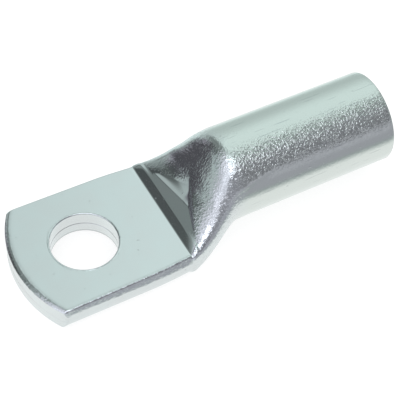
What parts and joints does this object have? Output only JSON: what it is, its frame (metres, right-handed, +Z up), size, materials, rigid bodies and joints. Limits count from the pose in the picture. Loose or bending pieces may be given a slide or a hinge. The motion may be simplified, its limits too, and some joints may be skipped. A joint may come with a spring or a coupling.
{
  "type": "cable lug",
  "caption": "Tinned copper cable lug: a round crimp barrel pressed down through a folded neck into a flat palm with a stud hole and an arched tip.",
  "frame": {"origin": "on the stud hole's axis at the palm's underside, the face that lies on the busbar", "axes": "+X along the barrel's axis towards its mouth, +Z up out of the palm's top face, +Y across the palm"},
  "size_m": [0.0794, 0.0276, 0.019],
  "materials": {
    "tinned_copper": "bright tin plating over copper"
  },
  "bodies": {
    "root": {"lug": "tinned_copper"}
  },
  "joints": []
}
